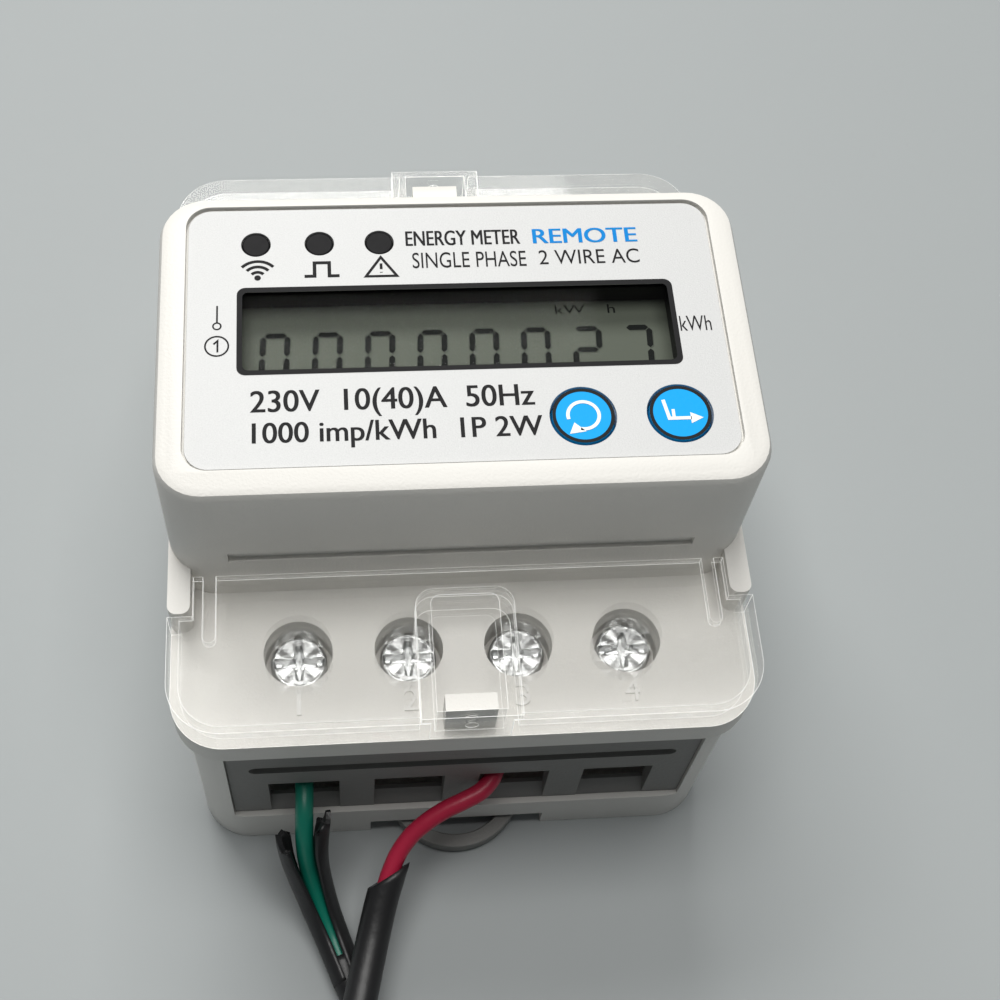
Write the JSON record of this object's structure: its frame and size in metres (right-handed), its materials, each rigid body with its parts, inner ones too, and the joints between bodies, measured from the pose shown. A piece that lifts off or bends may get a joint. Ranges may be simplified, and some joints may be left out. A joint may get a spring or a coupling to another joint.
{
  "type": "rail-mounted electronic energy meter",
  "caption": "Four-module electronic energy meter for a 35 mm rail, with display, push buttons, clear lift-off terminal covers and two short leads.",
  "frame": {"origin": "under the middle of the meter without its leads, on the plane of its back", "axes": "+Z out of the face, +Y to the top of the label, +X to the right of the label"},
  "size_m": [0.0871, 0.1794, 0.065],
  "materials": {
    "housing_white": "satin",
    "panel_grey": "satin",
    "clear_cover": "clear moulded polycarbonate",
    "label_silver": "fine brushed film with print",
    "black_plastic": "glossy",
    "lcd": "liquid crystal cell with polariser",
    "white_plastic": "satin",
    "contact_rubber": "matte",
    "circuit_board": "solder mask",
    "button_blue": "satin",
    "plated_steel": "zinc plated",
    "core_iron": "varnished",
    "winding_yellow": "tape and lacquer",
    "capacitor_sleeve": "printed sleeve",
    "varistor_blue": "dipped epoxy",
    "copper": "tinned in places",
    "terminal_green": "satin",
    "insulation_green": "satin",
    "insulation_red": "satin",
    "jacket_black": "satin"
  },
  "bodies": {
    "housing": {"base_housing": "housing_white", "top_housing": "housing_white", "terminal_panel_front": "panel_grey", "terminal_panel_rear": "panel_grey", "label_plate": "label_silver", "display_bezel": "black_plastic", "display_window": "clear_cover", "lcd_glass": "lcd", "lcd_backlight": "white_plastic", "lcd_contact_strips": "contact_rubber", "display_board": "circuit_board", "indicator_lenses": "black_plastic", "indicator_leds": "white_plastic", "switch_bodies": "black_plastic", "main_board": "circuit_board", "board_link_header": "black_plastic", "wireless_module": "plated_steel", "relay": "black_plastic", "transformer_core": "core_iron", "transformer_winding": "winding_yellow", "film_capacitor": "winding_yellow", "electrolytic_capacitors": "capacitor_sleeve", "varistor": "varistor_blue", "control_chips": "black_plastic", "busbar_1": "copper", "busbar_2": "copper", "busbar_3": "copper", "busbar_4": "copper", "din_clip_spring": "plated_steel", "case_screws": "plated_steel", "pulse_terminal_block": "terminal_green", "pulse_terminal_screws": "plated_steel", "green_conductor": "copper", "green_core": "insulation_green", "green_jacket": "jacket_black", "green_coil": "jacket_black", "red_conductor": "copper", "red_core": "insulation_red", "red_jacket": "jacket_black", "red_coil": "jacket_black", "lead_tie": "white_plastic"},
    "front_cover": {"terminal_cover_front": "clear_cover"},
    "rear_cover": {"terminal_cover_rear": "clear_cover"},
    "rail_clip": {"din_clip": "panel_grey"},
    "reset_button": {"button_reset": "button_blue", "switch_plunger_reset": "white_plastic"},
    "next_button": {"button_next": "button_blue", "switch_plunger_next": "white_plastic"},
    "screw_1": {"terminal_screw_1": "plated_steel"},
    "clamp_1": {"terminal_clamp_1": "plated_steel"},
    "screw_2": {"terminal_screw_2": "plated_steel"},
    "clamp_2": {"terminal_clamp_2": "plated_steel"},
    "screw_3": {"terminal_screw_3": "plated_steel"},
    "clamp_3": {"terminal_clamp_3": "plated_steel"},
    "screw_4": {"terminal_screw_4": "plated_steel"},
    "clamp_4": {"terminal_clamp_4": "plated_steel"}
  },
  "joints": [
    {"name": "front_cover_lift", "type": "slide", "parent": "housing", "child": "front_cover", "axis": [0, 0, 1], "range_m": [0, 0.03]},
    {"name": "rear_cover_lift", "type": "slide", "parent": "housing", "child": "rear_cover", "axis": [0, 0, 1], "range_m": [0, 0.03]},
    {"name": "rail_clip_pull", "type": "slide", "parent": "housing", "child": "rail_clip", "axis": [0, -1, 0], "range_m": [0, 0.004], "stiffness_N_per_m": 800},
    {"name": "reset_button_press", "type": "slide", "parent": "housing", "child": "reset_button", "axis": [0, 0, -1], "range_m": [0, 0.0005], "stiffness_N_per_m": 1500},
    {"name": "next_button_press", "type": "slide", "parent": "housing", "child": "next_button", "axis": [0, 0, -1], "range_m": [0, 0.0005], "stiffness_N_per_m": 1500},
    {"name": "screw_1_turn", "type": "hinge", "parent": "housing", "child": "screw_1", "pos_m": [-0.0216, -0.0286, 0.0335], "axis": [0, 0, 1], "range_deg": [0, 1800]},
    {"name": "clamp_1_lift", "type": "slide", "parent": "housing", "child": "clamp_1", "axis": [0, 0, 1], "range_m": [-0.004, 0]},
    {"name": "screw_2_turn", "type": "hinge", "parent": "housing", "child": "screw_2", "pos_m": [-0.0072, -0.0286, 0.0335], "axis": [0, 0, 1], "range_deg": [-540, 1800]},
    {"name": "clamp_2_lift", "type": "slide", "parent": "housing", "child": "clamp_2", "axis": [0, 0, 1], "range_m": [-0.004, 0.0012]},
    {"name": "screw_3_turn", "type": "hinge", "parent": "housing", "child": "screw_3", "pos_m": [0.0072, -0.0286, 0.0335], "axis": [0, 0, 1], "range_deg": [0, 1800]},
    {"name": "clamp_3_lift", "type": "slide", "parent": "housing", "child": "clamp_3", "axis": [0, 0, 1], "range_m": [-0.004, 0]},
    {"name": "screw_4_turn", "type": "hinge", "parent": "housing", "child": "screw_4", "pos_m": [0.0216, -0.0286, 0.0335], "axis": [0, 0, 1], "range_deg": [-540, 1800]},
    {"name": "clamp_4_lift", "type": "slide", "parent": "housing", "child": "clamp_4", "axis": [0, 0, 1], "range_m": [-0.004, 0.0012]}
  ],
  "couplings": [
    {"joint": "screw_1_turn", "follows": "clamp_1_lift", "rad_per_m": -7854},
    {"joint": "screw_2_turn", "follows": "clamp_2_lift", "rad_per_m": -7854},
    {"joint": "screw_3_turn", "follows": "clamp_3_lift", "rad_per_m": -7854},
    {"joint": "screw_4_turn", "follows": "clamp_4_lift", "rad_per_m": -7854}
  ]
}
